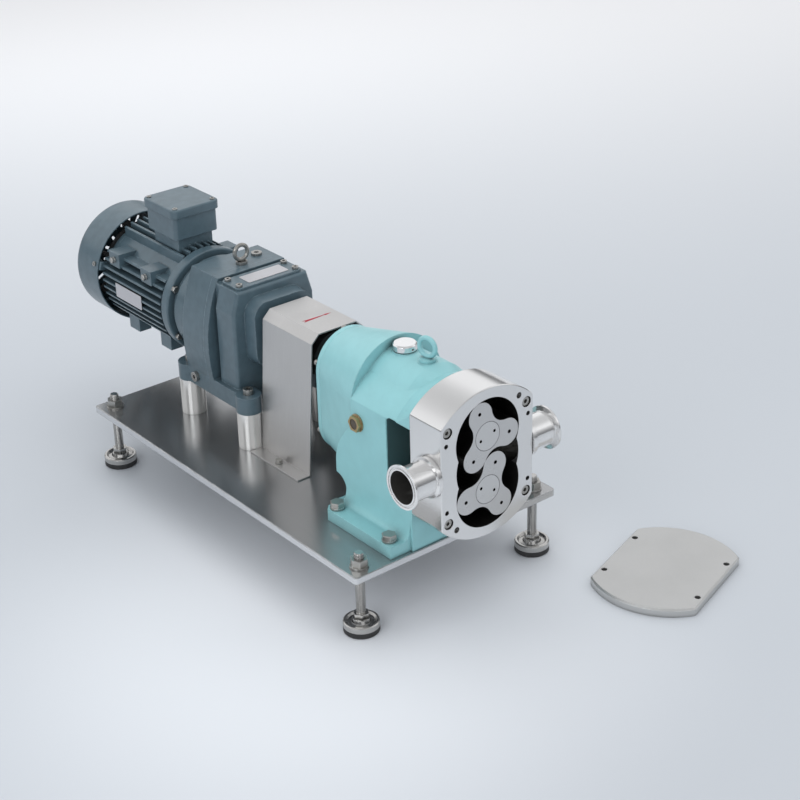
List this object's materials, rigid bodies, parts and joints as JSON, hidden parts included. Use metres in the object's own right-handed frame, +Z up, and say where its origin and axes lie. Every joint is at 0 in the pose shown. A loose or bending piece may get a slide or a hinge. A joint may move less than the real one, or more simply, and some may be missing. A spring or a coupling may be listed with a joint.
{
  "type": "rotary lobe pump set",
  "caption": "Rotary lobe pump with clamp-ferrule ports, timing gear case, guarded coupling, helical reducer and motor on a levelling base plate; front cover off.",
  "frame": {"origin": "on the floor under the middle of the base plate", "axes": "+Y from the pump face back along the shafts to the motor, +X to the right seen from the pump face, +Z up"},
  "size_m": [0.559, 1.1322, 0.4195],
  "materials": {
    "satin_steel": "satin brushed stainless steel",
    "pump_steel": "machined and polished stainless steel",
    "case_paint": "satin light turquoise enamel on cast iron",
    "drive_paint": "satin slate blue-grey enamel on cast iron",
    "plated_steel": "dull zinc-plated steel",
    "rubber": "black rubber in a pressed steel cup",
    "brass": "turned brass",
    "sight_lens": "clear lens over dark oil",
    "machined_steel": "ground and hardened steel",
    "hub_iron": "turned cast iron",
    "spider_rubber": "hard polyurethane",
    "core_steel": "laminated steel core with varnished windings",
    "fan_plastic": "black moulded plastic",
    "plate_aluminium": "bare satin plate"
  },
  "bodies": {
    "base": {"base_plate": "satin_steel", "coupling_guard": "satin_steel", "discharge_port": "pump_steel", "drive_bearings": "machined_steel", "fan_cowl": "drive_paint", "filler_cap": "plated_steel", "front_end_shield": "drive_paint", "gear_case": "case_paint", "input_cover": "drive_paint", "inspection_cover": "drive_paint", "levelling_nuts": "plated_steel", "motor_frame": "drive_paint", "motor_screws": "plated_steel", "nameplates": "plate_aluminium", "plate_bolts": "plated_steel", "pump_bearings": "machined_steel", "pump_lifting_eye": "case_paint", "pump_screws": "plated_steel", "rear_bearing_cover": "case_paint", "rear_end_shield": "drive_paint", "reducer_housing": "drive_paint", "reducer_lifting_eye": "plated_steel", "reducer_screws": "plated_steel", "rotor_casing": "pump_steel", "shaft_lip_seal": "rubber", "shaft_seals": "machined_steel", "sight_glass_lens": "sight_lens", "sight_glass_ring": "brass", "stator": "core_steel", "suction_port": "pump_steel", "support_posts": "satin_steel", "terminal_box": "drive_paint", "terminal_lid": "drive_paint"},
    "drive_line": {"upper_shaft": "machined_steel", "upper_rotor": "pump_steel", "upper_rotor_cap": "pump_steel", "upper_timing_gear": "machined_steel", "pump_coupling_hub": "hub_iron", "coupling_spider": "spider_rubber", "reducer_coupling_hub": "hub_iron", "output_shaft": "machined_steel", "output_gear": "machined_steel"},
    "driven_line": {"lower_shaft": "machined_steel", "lower_rotor": "pump_steel", "lower_rotor_cap": "pump_steel", "lower_timing_gear": "machined_steel"},
    "layshaft_body": {"layshaft": "machined_steel", "layshaft_wheel": "machined_steel"},
    "motor_rotor_body": {"motor_shaft": "machined_steel", "motor_rotor": "core_steel", "cooling_fan": "fan_plastic"},
    "foot_front_left": {"foot_pad_front_left": "rubber", "foot_stud_front_left": "plated_steel"},
    "foot_rear_left": {"foot_pad_rear_left": "rubber", "foot_stud_rear_left": "plated_steel"},
    "foot_front_right": {"foot_pad_front_right": "rubber", "foot_stud_front_right": "plated_steel"},
    "foot_rear_right": {"foot_pad_rear_right": "rubber", "foot_stud_rear_right": "plated_steel"},
    "loose_cover": {"front_cover": "pump_steel"}
  },
  "joints": [
    {"name": "motor_spin", "type": "hinge", "parent": "base", "child": "motor_rotor_body", "pos_m": [0, 0.35, 0.2638], "axis": [0, 1, 0], "continuous": true},
    {"name": "layshaft_spin", "type": "hinge", "parent": "base", "child": "layshaft_body", "pos_m": [0, 0.15, 0.2138], "axis": [0, 1, 0], "continuous": true},
    {"name": "drive_spin", "type": "hinge", "parent": "base", "child": "drive_line", "pos_m": [0, -0.1, 0.2818], "axis": [0, 1, 0], "continuous": true},
    {"name": "driven_spin", "type": "hinge", "parent": "base", "child": "driven_line", "pos_m": [0, -0.25, 0.1998], "axis": [0, 1, 0], "continuous": true},
    {"name": "foot_front_left_level", "type": "slide", "parent": "base", "child": "foot_front_left", "axis": [0, 0, -1], "range_m": [-0.03, 0.009]},
    {"name": "foot_rear_left_level", "type": "slide", "parent": "base", "child": "foot_rear_left", "axis": [0, 0, -1], "range_m": [-0.03, 0.009]},
    {"name": "foot_front_right_level", "type": "slide", "parent": "base", "child": "foot_front_right", "axis": [0, 0, -1], "range_m": [-0.03, 0.009]},
    {"name": "foot_rear_right_level", "type": "slide", "parent": "base", "child": "foot_rear_right", "axis": [0, 0, -1], "range_m": [-0.03, 0.009]},
    {"name": "cover_lift", "type": "slide", "parent": "base", "child": "loose_cover", "axis": [0, 0, 1], "range_m": [0, 0.1]}
  ],
  "couplings": [
    {"joint": "layshaft_spin", "follows": "motor_spin", "ratio": -0.42857},
    {"joint": "drive_spin", "follows": "motor_spin", "ratio": 0.14286},
    {"joint": "driven_spin", "follows": "motor_spin", "ratio": -0.14286}
  ]
}
